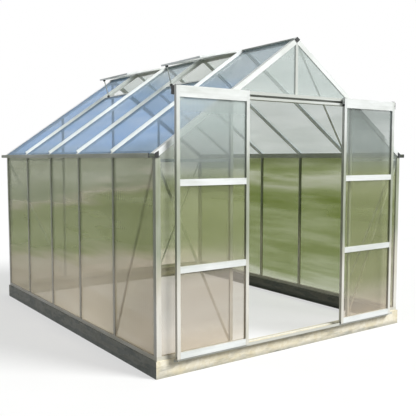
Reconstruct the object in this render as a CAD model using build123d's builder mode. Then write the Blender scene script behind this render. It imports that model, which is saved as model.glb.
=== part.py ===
from build123d import *
from math import atan2, cos, degrees, sin, tan
import os

# Free-standing hobby greenhouse: an aluminium frame glazed with twin-wall sheet, on a folded steel base.
# Millimetres, +Z up. The gable with the pair of sliding doors faces -Y, the vented roof slope faces -X.
# The origin is on the ground under the middle of the whole house.

# House: bars stand on a grid of equal bays
bay = 620
bays_wide = 4
bays_long = 5
face_out = 10                    # wall faces outside the outermost grid lines
eave_height = 1530               # roof face, where it passes over a side wall's face
ridge_height = 2400              # where the two roof faces meet
vented_bays = (1, 3)             # counted from the front, starting at 0

# Glazing
pane = 6
slip = 0.3                       # between a pane's faces and its slot
edge_gap = 1                     # between a pane's edge and the bottom of its slot
slot_deep = 12

# Aluminium bars
bar_wall = 2
bar_face = 24
bar_depth = 24
bar_web = 5
bar_stem = 8
bar_foot = 16
bolt_slot = 4                    # channel along the stem for bolt heads
rafter_rib = 8                   # upstanding rib along the outside of a rafter
rafter_rib_height = 22
corner_reach = 38                # face of corner posts and gable rafters
bore_wall = 3                    # round the hollow core of a corner bar

# Sills, eaves and gutters
sill_height = 30
threshold_height = 8
threshold_ramp = 5
eave_beam_drop = 40              # roof face down to the underside of the eave beam
pane_overhang = 18               # roof panes past the side wall's face, down the slope
gutter_width = 55
gutter_height = 30
gutter_wall = 2
gutter_hook = 12
gutter_bead = 5                  # rolled edge along the front
cap_thick = 5                    # plastic end caps
cap_rim = 6

# Ridge
ridge_wing = 30
ridge_wing_thick = 3
ridge_web = 4
hinge_radius = 4                 # bead along the head of a vent lid
hinge_wall = 2                   # round the groove that holds it
hinge_mouth = 6                  # the groove's opening, narrower than the bead
hinge_neck = 3

# Steel base
base_height = 120
base_out = 10                    # outside the wall faces
base_steel = 3
base_flange = 60
base_foot = 45
rail_joint = 0.3                 # between the two lengths of a long rail

# Door track on the front gable
header_drop = 493                # ridge down to the underside of the header and the track
track_depth = 38
track_wall = 3
track_reach = 1122               # from the middle to each end
wheel_radius = 23
wheel_width = 12
wheel_rim = 5
wheel_hub = 9                    # radius
wheel_dish = 3                   # depth of the recess between rim and hub
wheel_edge = 1                   # chamfer of the tread
axle_radius = 3
bolt_head = 5.5                  # radius
run_gap = 5                      # round what moves
seat_gap = 0.3                   # under the wheels

# Doors
door_lights = 3
door_width = 616
door_depth = 26
door_gap = 6                     # between the track and the doors
door_clear = 514                 # from the middle to the left door, which stands fully open
right_door_in = 53               # how much further in the right door stands
door_stile = 27
door_rail = 45
door_top_rail = 76
door_lift = 8                    # over the base
door_skirt = 4                   # walls of the groove under a door
door_groove = 18
stile_wall = 3
plug_thick = 3                   # plastic plugs in the heads of the stiles
plug_spigot = 15
wheel_inset = 60
guide_wall = 3
guide_leg = 24
guide_fin = 22

# Braces
brace_width = 20
brace_thick = 3
brace_top = 65                   # under the eave beam
brace_foot = 15                  # over the sill
tie_drop = 20                    # under the eave beam
roof_brace_end = 45              # from the ridge and from the eave

# Roof vents
vent_length = 470                # ridge to vent sill, down the slope
vent_sill = 24
lid_length = 440
lid_depth = 14
lid_frame = 24
lid_side_gap = 8                 # between the lid and the bay lines
lid_open = 23                    # degrees
stay_width = 14
stay_aside = 230                 # from the middle of a lid towards the rear
stay_thick = 4
stay_holes = 5
stay_hole_radius = 2.5

overrun = 50                     # how far cutting and cut pieces run past

# Worked-out places
half_width = bays_wide * bay / 2 + face_out
half_length = bays_long * bay / 2 + face_out
pitch = atan2(ridge_height - eave_height, half_width)
slot = pane + 2 * slip
pane_out = bar_wall + slip                        # depth of a pane's outer face
pane_in = pane_out + pane
seat_depth = bar_wall + slot                      # depth of the face behind a pane
sill_top = base_height + sill_height
eave_bottom = eave_height - eave_beam_drop
track_height = 2 * (track_wall + wheel_radius) + seat_gap + run_gap
header_bottom = ridge_height - header_drop
track_top = header_bottom + track_height
axle_height = header_bottom + track_wall + seat_gap + wheel_radius
door_reach = track_depth + door_gap + door_depth
wall_middle = (door_reach - base_out) / 2
front_face = wall_middle - half_length
rear_face = wall_middle + half_length
door_back = front_face - track_depth - door_gap
door_bottom = base_height + door_lift
ridge_web_depth = corner_reach                    # the web stops over the heads of the gable bars
hinge_outer = hinge_radius + slip + hinge_wall
hinge_height = lid_depth / 2 + seat_gap           # over the roof face, so that a shut lid lies on the bars
slope_length = half_width / cos(pitch)
slope_foot = slope_length + pane_overhang
rib_foot = slope_foot - rafter_rib_height * tan(pitch)   # its outer corner stands plumb over the cap's foot
slope_head = (ridge_web / 2 + edge_gap + pane_in * sin(pitch)) / cos(pitch)
bay_lines_long = [(i - bays_long / 2) * bay for i in range(1, bays_long)]
bay_middles_long = [(i + 1 / 2 - bays_long / 2) * bay for i in range(bays_long)]
bay_lines_wide = [(i - bays_wide / 2) * bay for i in range(1, bays_wide)]
jamb = bay_lines_wide[-1]

# Planes of the house
low = (Align.MIN, Align.MIN)
mid_low = (Align.CENTER, Align.MIN)
low_mid = (Align.MIN, Align.CENTER)
lengthways = Plane.XZ.offset(-wall_middle)        # mirror plane between front and rear
crossways = Plane.YZ                              # mirror plane between left and right
between_doors = Plane.YZ.offset(-right_door_in / 2)
ridge_middle = (0, wall_middle, ridge_height)
left_slope = Plane(origin=ridge_middle, x_dir=(0, 1, 0), z_dir=(-sin(pitch), 0, cos(pitch)))
right_slope = Plane(origin=ridge_middle, x_dir=(0, -1, 0), z_dir=(sin(pitch), 0, cos(pitch)))
up_slope = left_slope.y_dir * -1
into_roof = left_slope.z_dir * -1
front_left_mitre = Plane(origin=(-half_width, front_face, 0), z_dir=(1, -1, 0))
rear_left_mitre = Plane(origin=(-half_width, rear_face, 0), z_dir=(1, 1, 0))
front_right_mitre = Plane(origin=(half_width, front_face, 0), z_dir=(-1, -1, 0))


def across(y):
    """Plane facing the front at a given Y."""
    return Plane.XZ.offset(-y)


def bar_plane(origin, inward, run):
    """Plane square to a bar: local y goes into the house, and the bar runs along local z."""
    return Plane(origin=origin, x_dir=inward.cross(run), z_dir=run)


def rail_plane(origin, inward):
    """Plane square to a level rail: local x goes into the house, local y goes up."""
    return Plane(origin=origin, x_dir=inward, z_dir=inward.cross(Vector(0, 0, 1)))


def cap_section():
    """Outer half of a glazing bar: the face flange and the web between two panes."""
    Rectangle(bar_face, bar_wall, align=mid_low)
    Rectangle(bar_web, seat_depth, align=mid_low)


def stem_section():
    """Inner half of a glazing bar: the flange behind the panes and the bolt channel."""
    with Locations((0, seat_depth)):
        Rectangle(bar_face, bar_wall, align=mid_low)
        Rectangle(bar_stem, bar_depth - seat_depth, align=mid_low)
    with Locations((0, bar_depth - bar_wall)):
        Rectangle(bar_foot, bar_wall, align=mid_low)
    with Locations((0, seat_depth + bar_wall)):
        Rectangle(bolt_slot, bar_depth - seat_depth, align=mid_low, mode=Mode.SUBTRACT)


def corner_section():
    """Corner bar: a hollow core with two flanges each way, which hold the edges of two panes."""
    Rectangle(bar_depth, bar_depth, align=low)
    Rectangle(corner_reach, bar_wall, align=low)
    Rectangle(bar_wall, corner_reach, align=low)
    with Locations((0, seat_depth)):
        Rectangle(corner_reach, bar_wall, align=low)
    with Locations((seat_depth, 0)):
        Rectangle(bar_wall, corner_reach, align=low)
    with Locations((bore_wall, bore_wall)):
        Rectangle(bar_depth - 2 * bore_wall, bar_depth - 2 * bore_wall, align=low, mode=Mode.SUBTRACT)


def base_section():
    """Folded channel: a web with a flange along the top and a foot along the bottom."""
    Rectangle(base_steel, base_height, align=low)
    Rectangle(base_foot, base_steel, align=low)
    with Locations((0, base_height - base_steel)):
        Rectangle(base_flange, base_steel, align=low)


def sill_section():
    """Sill with a slot along the top for the foot of the panes."""
    Rectangle(bar_depth, sill_height, align=low)
    with Locations((bar_wall, sill_height - slot_deep)):
        Rectangle(slot, slot_deep, align=low, mode=Mode.SUBTRACT)


def trim_under_roof(depth):
    """Cut what stands in a gable along both roof slopes, a given depth under the roof faces."""
    split(bisect_by=left_slope.offset(-depth), keep=Keep.BOTTOM)
    split(bisect_by=right_slope.offset(-depth), keep=Keep.BOTTOM)


def flat_bar(start, end):
    """Outline of a flat bar with round ends, from one bolt to another."""
    run = Vector(*end) - Vector(*start)
    middle = (Vector(*end) + Vector(*start)) * (1 / 2)
    with Locations((middle.X, middle.Y)):
        SlotCenterToCenter(run.length, brace_width, rotation=degrees(atan2(run.Y, run.X)))


def write(piece, name):
    """Label a finished piece and write it."""
    piece.part.label = name
    export_step(piece.part, f"parts/{name}.step")


os.makedirs("parts", exist_ok=True)

# Steel base: folded channels in two lengths to each wall, mitred at the corners
base_corner = (-half_width - base_out, front_face - base_out, 0)
with BuildPart() as base_sides:
    with BuildSketch(rail_plane(base_corner, Vector(1, 0, 0))):
        base_section()
    extrude(amount=-(half_length + base_out - rail_joint / 2))
    split(bisect_by=front_left_mitre, keep=Keep.BOTTOM)
    mirror(about=lengthways)
    mirror(about=crossways)
write(base_sides, "base_sides")

with BuildPart() as base_ends:
    with BuildSketch(rail_plane(base_corner, Vector(0, 1, 0))):
        base_section()
    extrude(amount=half_width + base_out - rail_joint / 2)
    split(bisect_by=front_left_mitre, keep=Keep.TOP)
    mirror(about=crossways)
    mirror(about=lengthways)
write(base_ends, "base_ends")

# Sills on the base
sill_corner = (-half_width, front_face, base_height)
with BuildPart() as sills_side:
    with BuildSketch(rail_plane(sill_corner, Vector(1, 0, 0))):
        sill_section()
    extrude(amount=-2 * half_length)
    split(bisect_by=front_left_mitre, keep=Keep.BOTTOM)
    split(bisect_by=rear_left_mitre, keep=Keep.BOTTOM)
    mirror(about=crossways)
write(sills_side, "sills_side")

with BuildPart() as sills_front:
    with BuildSketch(rail_plane(sill_corner, Vector(0, 1, 0))):
        sill_section()
    extrude(amount=half_width - jamb + bar_face / 2)
    split(bisect_by=front_left_mitre, keep=Keep.TOP)
    mirror(about=crossways)
write(sills_front, "sills_front")

with BuildPart() as sill_rear:
    mirror(sills_front.part, about=lengthways)
    with BuildSketch(rail_plane((jamb - bar_face / 2, rear_face, base_height), Vector(0, -1, 0))):
        sill_section()
    extrude(amount=2 * jamb - bar_face)
write(sill_rear, "sill_rear")

with BuildPart() as threshold:
    with BuildSketch(Plane.XY.offset(base_height)):
        with Locations((0, front_face)):
            Rectangle(2 * jamb - bar_face, bar_depth, align=mid_low)
    extrude(amount=threshold_height)
    chamfer(threshold.edges().group_by(Axis.Z)[-1].filter_by(Axis.X), threshold_ramp)
write(threshold, "threshold")

# Corner posts and wall studs
with BuildPart() as corner_posts:
    with BuildSketch(Plane(origin=(-half_width, front_face, sill_top))):
        corner_section()
    extrude(amount=eave_bottom - sill_top)
    mirror(about=crossways)
    mirror(about=lengthways)
write(corner_posts, "corner_posts")

with BuildPart() as studs_side:
    feet = [(-half_width, wall_middle + y, sill_top) for y in bay_lines_long]
    with BuildSketch(*[bar_plane(foot, Vector(1, 0, 0), Vector(0, 0, 1)) for foot in feet]):
        cap_section()
        stem_section()
    extrude(amount=eave_bottom - sill_top)
    mirror(about=crossways)
write(studs_side, "studs_side")

with BuildPart() as studs_rear:
    feet = [(x, rear_face, sill_top) for x in bay_lines_wide]
    with BuildSketch(*[bar_plane(foot, Vector(0, -1, 0), Vector(0, 0, 1)) for foot in feet]):
        cap_section()
        stem_section()
    extrude(amount=ridge_height - sill_top)
    trim_under_roof(corner_reach)
write(studs_rear, "studs_rear")

with BuildPart() as door_jambs:
    feet = [(x, front_face, sill_top) for x in (-jamb, jamb)]
    with BuildSketch(*[bar_plane(foot, Vector(0, 1, 0), Vector(0, 0, 1)) for foot in feet]):
        cap_section()
        stem_section()
    extrude(amount=ridge_height - sill_top)
    trim_under_roof(corner_reach)
write(door_jambs, "door_jambs")

# Header over the doorway and the mullion above it
with BuildPart() as door_header:
    with BuildSketch(rail_plane((bar_face / 2 - jamb, front_face, header_bottom), Vector(0, 1, 0))):
        Rectangle(bar_depth, track_height, align=low)
        with Locations((bar_wall, track_height - slot_deep)):
            Rectangle(slot, slot_deep, align=low, mode=Mode.SUBTRACT)
    extrude(amount=2 * jamb - bar_face)
    trim_under_roof(corner_reach)
write(door_header, "door_header")

with BuildPart() as gable_mullion:
    with BuildSketch(bar_plane((0, front_face, track_top), Vector(0, 1, 0), Vector(0, 0, 1))):
        cap_section()
        stem_section()
    extrude(amount=ridge_height - track_top)
    trim_under_roof(corner_reach)
write(gable_mullion, "gable_mullion")

# Eave beams and gutters
eave_seat = eave_height - seat_depth / cos(pitch)
with BuildPart() as eave_beams:
    with BuildSketch(across(front_face)):
        with BuildLine():
            Polyline(
                (-half_width, eave_bottom),
                (-half_width, eave_seat),
                (-half_width + bar_depth, eave_seat + bar_depth * tan(pitch)),
                (-half_width + bar_depth, eave_bottom),
                close=True,
            )
        make_face()
        with Locations((-half_width + bar_wall, eave_bottom)):
            Rectangle(slot, slot_deep, align=low, mode=Mode.SUBTRACT)
    extrude(amount=-2 * half_length)
    mirror(about=crossways)
write(eave_beams, "eave_beams")

gutter_front = -half_width - gutter_width
with BuildPart() as gutters:
    with BuildSketch(across(front_face)):
        with Locations((gutter_front + gutter_wall, eave_bottom)):
            Rectangle(gutter_width - gutter_wall, gutter_wall, align=low)
        with Locations((-half_width - gutter_wall, eave_bottom)):
            Rectangle(gutter_wall, gutter_hook, align=low)
    extrude(amount=-2 * half_length)
    mirror(about=crossways)
write(gutters, "gutters")

with BuildPart() as gutter_lips:
    with BuildSketch(across(front_face)):
        with Locations((gutter_front, eave_bottom)):
            Rectangle(gutter_wall, gutter_height - gutter_bead / 2, align=low)
        with Locations((gutter_front + gutter_bead / 2, eave_bottom + gutter_height - gutter_bead / 2)):
            Circle(gutter_bead / 2)
    extrude(amount=-2 * half_length)
    mirror(about=crossways)
write(gutter_lips, "gutter_lips")

with BuildPart() as gutter_end_caps:
    with BuildSketch(across(front_face)):
        with Locations((gutter_front, eave_bottom)):
            Rectangle(gutter_width, gutter_height, align=low)
        with Locations((gutter_front + cap_rim, eave_bottom + cap_rim)):
            Rectangle(gutter_width - cap_rim, gutter_height, align=low, mode=Mode.SUBTRACT)
        with BuildLine():
            Polyline(
                (-half_width - cap_rim, eave_bottom),
                (-half_width - cap_rim, eave_seat),
                (-half_width + bar_depth, eave_seat + bar_depth * tan(pitch)),
                (-half_width + bar_depth, eave_bottom),
                close=True,
            )
        make_face()
    extrude(amount=cap_thick)
    mirror(about=crossways)
    mirror(about=lengthways)
write(gutter_end_caps, "gutter_end_caps")

# Rafters: the cap runs down over the eave beam with a rib along it, the stem stops against the beam
with BuildPart() as rafters:
    feet = [left_slope.from_local_coords((y, slope_foot, 0)) for y in bay_lines_long]
    planes = [bar_plane(foot, into_roof, up_slope) for foot in feet]
    with BuildSketch(*planes):
        stem_section()
    extrude(amount=slope_foot + overrun)
    split(bisect_by=Plane.YZ.offset(bar_depth - half_width), keep=Keep.TOP)
    with BuildSketch(*planes):
        cap_section()
    extrude(amount=slope_foot + overrun)
    rib_feet = [left_slope.from_local_coords((y, rib_foot, 0)) for y in bay_lines_long]
    with BuildSketch(*[bar_plane(foot, into_roof, up_slope) for foot in rib_feet]):
        Rectangle(rafter_rib, rafter_rib_height, align=(Align.CENTER, Align.MAX))
    extrude(amount=rib_foot - ridge_wing - hinge_outer - run_gap)
    split(bisect_by=Plane.YZ.offset(-ridge_web / 2), keep=Keep.BOTTOM)
    mirror(about=crossways)
write(rafters, "rafters")

with BuildPart() as gable_rafters:
    foot = left_slope.from_local_coords((-half_length, slope_foot, 0))
    with BuildSketch(Plane(origin=foot, x_dir=into_roof, z_dir=up_slope)):
        corner_section()
        Rectangle(seat_depth, corner_reach, align=low, mode=Mode.SUBTRACT)
    extrude(amount=slope_foot + overrun)
    split(bisect_by=Plane.YZ.offset(bar_depth - half_width), keep=Keep.TOP)
    with BuildSketch(Plane(origin=foot, x_dir=into_roof, z_dir=up_slope)):
        Rectangle(seat_depth, bar_depth, align=low)
        Rectangle(bar_wall, corner_reach, align=low)
        with Locations((bore_wall, bore_wall)):
            Rectangle(seat_depth - bore_wall, bar_depth - 2 * bore_wall, align=low, mode=Mode.SUBTRACT)
    extrude(amount=slope_foot + overrun)
    split(bisect_by=Plane.YZ.offset(-ridge_web / 2), keep=Keep.BOTTOM)
    mirror(about=crossways)
    mirror(about=lengthways)
write(gable_rafters, "gable_rafters")

# Ridge bar: two wings over the rafters, each with a hinge groove along its edge, and a web between them
wing_low = (ridge_wing * cos(pitch), ridge_height - ridge_wing * sin(pitch))
wing_high = (wing_low[0] + ridge_wing_thick * sin(pitch), wing_low[1] + ridge_wing_thick * cos(pitch))
wing_crest = (0, ridge_height + ridge_wing_thick / cos(pitch))
with BuildPart() as ridge_bar:
    with BuildSketch(across(front_face)):
        with BuildLine():
            Polyline(
                wing_crest,
                wing_high,
                wing_low,
                (ridge_web / 2, ridge_height - ridge_web / 2 * tan(pitch)),
                (ridge_web / 2, ridge_height - ridge_web_depth),
                (0, ridge_height - ridge_web_depth),
            )
            mirror(about=Plane.YZ)
        make_face()
    extrude(amount=-2 * half_length)
    for slope in (left_slope, right_slope):
        start = slope.from_local_coords((-half_length, ridge_wing, hinge_height))
        with BuildSketch(Plane(origin=start, x_dir=slope.y_dir, z_dir=slope.x_dir)):
            Circle(hinge_outer)
            Circle(hinge_radius + slip, mode=Mode.SUBTRACT)
            Rectangle(2 * hinge_outer, hinge_mouth, rotation=lid_open, align=low_mid, mode=Mode.SUBTRACT)
        extrude(amount=2 * half_length)
write(ridge_bar, "ridge_bar")

with BuildPart() as ridge_end_caps:
    with BuildSketch(across(front_face)):
        with BuildLine():
            Polyline(wing_crest, wing_high, wing_low, (0, ridge_height - ridge_web_depth))
            mirror(about=Plane.YZ)
        make_face()
    extrude(amount=cap_thick)
    mirror(about=lengthways)
write(ridge_end_caps, "ridge_end_caps")

# Wall and roof panes
corner_edge = bar_depth + edge_gap                # pane edge from a corner bar's outer face
pane_foot = sill_top - slot_deep                  # panes stand on the bottom of the sill's slot
side_pane_height = eave_bottom + slot_deep - edge_gap - pane_foot
stud_edge = bar_web / 2 + edge_gap
end_edges_long = [-half_length + corner_edge] + [y + stud_edge for y in bay_lines_long]
far_edges_long = [y - stud_edge for y in bay_lines_long] + [half_length - corner_edge]

with BuildPart() as panes_left:
    with BuildSketch(Plane.YZ.offset(pane_out - half_width)):
        for near, far in zip(end_edges_long, far_edges_long):
            with Locations((wall_middle + near, pane_foot)):
                Rectangle(far - near, side_pane_height, align=low)
    extrude(amount=pane)
write(panes_left, "panes_left")

with BuildPart() as panes_right:
    mirror(panes_left.part, about=crossways)
write(panes_right, "panes_right")

end_edges_wide = [-half_width + corner_edge] + [x + stud_edge for x in bay_lines_wide]
far_edges_wide = [x - stud_edge for x in bay_lines_wide] + [half_width - corner_edge]
gable_bays = list(zip(end_edges_wide, far_edges_wide))

with BuildPart() as panes_rear:
    with BuildSketch(across(rear_face - pane_out)):
        for near, far in gable_bays:
            with Locations((near, pane_foot)):
                Rectangle(far - near, ridge_height - pane_foot, align=low)
    extrude(amount=pane)
    trim_under_roof(corner_edge)
write(panes_rear, "panes_rear")

with BuildPart() as panes_front:
    with BuildSketch(across(front_face + pane_in)):
        for near, far in (gable_bays[0], gable_bays[-1]):
            with Locations((near, pane_foot)):
                Rectangle(far - near, ridge_height - pane_foot, align=low)
    extrude(amount=pane)
    trim_under_roof(corner_edge)
write(panes_front, "panes_front")

with BuildPart() as panes_gable_top:
    with BuildSketch(across(front_face + pane_in)):
        for near, far in gable_bays[1:-1]:
            with Locations((near, track_top - slot_deep)):
                Rectangle(far - near, ridge_height - track_top, align=low)
    extrude(amount=pane)
    trim_under_roof(corner_edge)
write(panes_gable_top, "panes_gable_top")

with BuildPart() as panes_roof_right:
    with BuildSketch(right_slope.offset(-pane_in)):
        for near, far in zip(end_edges_long, far_edges_long):
            with Locations((near, slope_head)):
                Rectangle(far - near, slope_foot - slope_head, align=low)
    extrude(amount=pane)
write(panes_roof_right, "panes_roof_right")

with BuildPart() as panes_roof_left:
    with BuildSketch(left_slope.offset(-pane_in)):
        for number, (near, far) in enumerate(zip(end_edges_long, far_edges_long)):
            head = slope_head
            if number in vented_bays:
                head = vent_length + vent_sill - slot_deep + edge_gap
            with Locations((near, head)):
                Rectangle(far - near, slope_foot - head, align=low)
    extrude(amount=pane)
write(panes_roof_left, "panes_roof_left")

# Roof vents: sills between the rafters, lids hung in the ridge's hinge groove and propped open on stays
vent_middles = [bay_middles_long[number] for number in vented_bays]
lid_angle = pitch - lid_open / degrees(1)
lid_normal = (-sin(lid_angle), 0, cos(lid_angle))
lid_hinges = [left_slope.from_local_coords((y, ridge_wing, hinge_height)) for y in vent_middles]
lid_planes = [Plane(origin=hinge, x_dir=(0, 1, 0), z_dir=lid_normal) for hinge in lid_hinges]
lid_width = bay - 2 * lid_side_gap
lid_start = hinge_outer + slip                    # head of the frame, from the hinge
lid_body = lid_length - lid_start

with BuildPart() as vent_sills:
    for y in vent_middles:
        start = left_slope.from_local_coords((y + (bay - bar_face) / 2, vent_length, 0))
        with BuildSketch(Plane(origin=start, x_dir=left_slope.y_dir, z_dir=left_slope.x_dir * -1)):
            Rectangle(vent_sill, bar_depth, align=low)
            with Locations((vent_sill - slot_deep, bar_wall)):
                Rectangle(slot_deep, slot, align=low, mode=Mode.SUBTRACT)
        extrude(amount=bay - bar_face)
write(vent_sills, "vent_sills")

with BuildPart() as vent_frames:
    with BuildSketch(*[plane.offset(-lid_depth / 2) for plane in lid_planes]):
        with Locations((0, lid_start)):
            Rectangle(lid_width, lid_body, align=mid_low)
        with Locations((0, lid_start + lid_frame)):
            light = (lid_width - 2 * lid_frame, lid_body - 2 * lid_frame)
            Rectangle(*light, align=mid_low, mode=Mode.SUBTRACT)
    extrude(amount=lid_depth)
    with BuildSketch(*[plane.offset(-slot / 2) for plane in lid_planes]):
        with Locations((0, lid_start + lid_frame - slot_deep)):
            Rectangle(light[0] + 2 * slot_deep, light[1] + 2 * slot_deep, align=mid_low)
    extrude(amount=slot, mode=Mode.SUBTRACT)
    for plane in lid_planes:
        start = plane.from_local_coords((-lid_width / 2, 0, 0))
        with BuildSketch(Plane(origin=start, x_dir=plane.y_dir, z_dir=plane.x_dir)):
            Circle(hinge_radius)
            Rectangle(lid_start, hinge_neck, align=low_mid)
        extrude(amount=lid_width)
write(vent_frames, "vent_frames")

with BuildPart() as vent_panes:
    lid_reach = slot_deep - edge_gap
    with BuildSketch(*[plane.offset(-pane / 2) for plane in lid_planes]):
        with Locations((0, lid_start + lid_frame - lid_reach)):
            Rectangle(light[0] + 2 * lid_reach, light[1] + 2 * lid_reach, align=mid_low)
    extrude(amount=pane)
write(vent_panes, "vent_panes")

with BuildPart() as vent_stays:
    for y, lid in zip(vent_middles, lid_planes):
        foot = left_slope.from_local_coords((y + stay_aside, vent_length + vent_sill / 2, 0))
        head = lid.from_local_coords((stay_aside, lid_length - lid_frame / 2, -lid_depth / 2))
        run = (head - foot).normalized()
        length = (head - foot).length
        with BuildSketch(Plane(origin=foot - run * overrun, x_dir=(0, 1, 0), z_dir=run)):
            Rectangle(stay_width, stay_thick)
        extrude(amount=length + 2 * overrun)
        with BuildSketch(Plane(origin=(foot + head) * (1 / 2), x_dir=run, z_dir=run.cross(Vector(0, 1, 0)))):
            with GridLocations(length / stay_holes, 0, stay_holes, 1):
                Circle(stay_hole_radius)
        extrude(amount=stay_thick, both=True, mode=Mode.SUBTRACT)
    split(bisect_by=lid_planes[0].offset(-lid_depth / 2), keep=Keep.BOTTOM)
    split(bisect_by=left_slope, keep=Keep.TOP)
write(vent_stays, "vent_stays")

# Door track: a slotted channel across the gable in two lengths, with the guide for the doors' feet below
track_corner = (-track_reach, front_face - track_depth, header_bottom)
with BuildPart() as door_track:
    with BuildSketch(rail_plane(track_corner, Vector(0, 1, 0))):
        Rectangle(track_depth, track_height, align=low)
        with Locations((track_wall, track_wall)):
            hollow = (track_depth - 2 * track_wall, track_height - 2 * track_wall)
            Rectangle(*hollow, align=low, mode=Mode.SUBTRACT)
        with Locations((0, axle_height - header_bottom)):
            Rectangle(2 * track_wall, 2 * (axle_radius + run_gap), mode=Mode.SUBTRACT)
    extrude(amount=track_reach - rail_joint / 2)
    mirror(about=crossways)
write(door_track, "door_track")

with BuildPart() as track_end_caps:
    with BuildSketch(rail_plane(track_corner, Vector(0, 1, 0))):
        Rectangle(track_depth, track_height, align=low)
    extrude(amount=-cap_thick)
    mirror(about=crossways)
write(track_end_caps, "track_end_caps")

with BuildPart() as door_guide:
    guide_top = base_height - guide_wall
    fin_back = door_back - (door_depth - guide_wall) / 2
    with BuildSketch(Plane.YZ.offset(-track_reach)):
        with Locations((front_face - base_out, guide_top)):
            Rectangle(guide_wall, guide_leg, align=(Align.MAX, Align.MAX))
            shelf = front_face - base_out - fin_back + guide_wall
            Rectangle(shelf, guide_wall, align=(Align.MAX, Align.MAX))
        with Locations((fin_back, guide_top - guide_wall)):
            Rectangle(guide_wall, guide_fin, align=(Align.MAX, Align.MIN))
    extrude(amount=track_reach - rail_joint / 2)
    mirror(about=crossways)
write(door_guide, "door_guide")

# Doors, standing open
stile_edges = (-door_clear - door_width, -door_clear - door_stile)
rail_start = stile_edges[0] + door_stile
rail_length = door_width - 2 * door_stile
pane_back = door_back - (door_depth - pane) / 2
slot_back = door_back - (door_depth - slot) / 2
light_height = (track_top - door_bottom - door_top_rail) / door_lights - door_rail
rail_feet = [door_bottom + number * (door_rail + light_height) for number in range(door_lights)]
light_feet = [foot + door_rail for foot in rail_feet]
top_rail_foot = light_feet[-1] + light_height
wheel_places = (stile_edges[0] + wheel_inset, -door_clear - wheel_inset)
bore_edges = (stile_edges[0] + stile_wall, stile_edges[1] + slot_deep + stile_wall)
bore_front = door_back - door_depth + stile_wall
bore = (door_stile - slot_deep - 2 * stile_wall, door_depth - 2 * stile_wall)

with BuildPart() as door_left_stiles:
    with BuildSketch(across(door_back)):
        for edge in stile_edges:
            with Locations((edge, door_bottom)):
                Rectangle(door_stile, track_top - door_bottom, align=low)
    extrude(amount=door_depth)
    with BuildSketch(across(slot_back)):
        for foot in light_feet:
            with Locations((rail_start - slot_deep, foot - slot_deep)):
                Rectangle(rail_length + 2 * slot_deep, light_height + 2 * slot_deep, align=low)
    extrude(amount=slot, mode=Mode.SUBTRACT)
    with BuildSketch(across(door_back - door_skirt)):
        with Locations((stile_edges[0], door_bottom)):
            Rectangle(door_width, door_groove, align=low)
    extrude(amount=door_depth - 2 * door_skirt, mode=Mode.SUBTRACT)
    with BuildSketch(Plane.XY.offset(door_bottom)):
        for edge in bore_edges:
            with Locations((edge, bore_front)):
                Rectangle(*bore, align=low)
    extrude(amount=track_top - door_bottom, mode=Mode.SUBTRACT)
write(door_left_stiles, "door_left_stiles")

with BuildPart() as door_left_plugs:
    with BuildSketch(Plane.XY.offset(track_top)):
        for edge in stile_edges:
            with Locations((edge, door_back - door_depth)):
                Rectangle(door_stile, door_depth, align=low)
    extrude(amount=plug_thick)
    chamfer(door_left_plugs.edges().group_by(Axis.Z)[-1], plug_thick / 2)
    with BuildSketch(Plane.XY.offset(track_top)):
        for edge in bore_edges:
            with Locations((edge + slip, bore_front + slip)):
                Rectangle(bore[0] - 2 * slip, bore[1] - 2 * slip, align=low)
    extrude(amount=-plug_spigot)
write(door_left_plugs, "door_left_plugs")

with BuildPart() as door_left_rails:
    with BuildSketch(across(door_back)):
        for foot in rail_feet:
            with Locations((rail_start, foot)):
                Rectangle(rail_length, door_rail, align=low)
        with Locations((rail_start, top_rail_foot)):
            Rectangle(rail_length, door_top_rail, align=low)
    extrude(amount=door_depth)
    with BuildSketch(across(slot_back)):
        for foot in light_feet:
            with Locations((rail_start, foot - slot_deep)):
                Rectangle(rail_length, light_height + 2 * slot_deep, align=low)
    extrude(amount=slot, mode=Mode.SUBTRACT)
    with BuildSketch(across(door_back - door_skirt)):
        with Locations((rail_start, door_bottom)):
            Rectangle(rail_length, door_groove, align=low)
    extrude(amount=door_depth - 2 * door_skirt, mode=Mode.SUBTRACT)
write(door_left_rails, "door_left_rails")

with BuildPart() as door_left_panes:
    pane_reach = slot_deep - edge_gap
    with BuildSketch(across(pane_back)):
        for foot in light_feet:
            with Locations((rail_start - pane_reach, foot - slot_deep)):
                Rectangle(rail_length + 2 * pane_reach, light_height + slot_deep + pane_reach, align=low)
    extrude(amount=pane)
write(door_left_panes, "door_left_panes")

# Each roller is turned with its bolt: head, dished wheel with a hub, and the shank through the track's slot
with BuildPart() as door_left_rollers:
    wheel_back = front_face - (track_depth - wheel_width) / 2
    rim_inner = wheel_radius - wheel_rim
    shank_end = wheel_back - door_back
    for x in wheel_places:
        middle = (x, wheel_back, axle_height)
        with BuildSketch(Plane(origin=middle, x_dir=(0, -1, 0), z_dir=(1, 0, 0))):
            with BuildLine():
                Polyline(
                    (0, 0),
                    (0, bolt_head),
                    (wheel_dish, bolt_head),
                    (wheel_dish, rim_inner),
                    (0, rim_inner),
                    (0, wheel_radius - wheel_edge),
                    (wheel_edge, wheel_radius),
                    (wheel_width - wheel_edge, wheel_radius),
                    (wheel_width, wheel_radius - wheel_edge),
                    (wheel_width, rim_inner),
                    (wheel_width - wheel_dish, rim_inner),
                    (wheel_width - wheel_dish, wheel_hub),
                    (wheel_width, wheel_hub),
                    (wheel_width, axle_radius),
                    (shank_end, axle_radius),
                    (shank_end, 0),
                    close=True,
                )
            make_face()
        revolve(axis=Axis(middle, (0, 1, 0)))
write(door_left_rollers, "door_left_rollers")

left_pieces = (door_left_stiles, door_left_plugs, door_left_rails, door_left_panes, door_left_rollers)
for left_piece in left_pieces:
    with BuildPart() as door_right_piece:
        mirror(left_piece.part, about=between_doors)
    write(door_right_piece, left_piece.part.label.replace("left", "right"))

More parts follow.
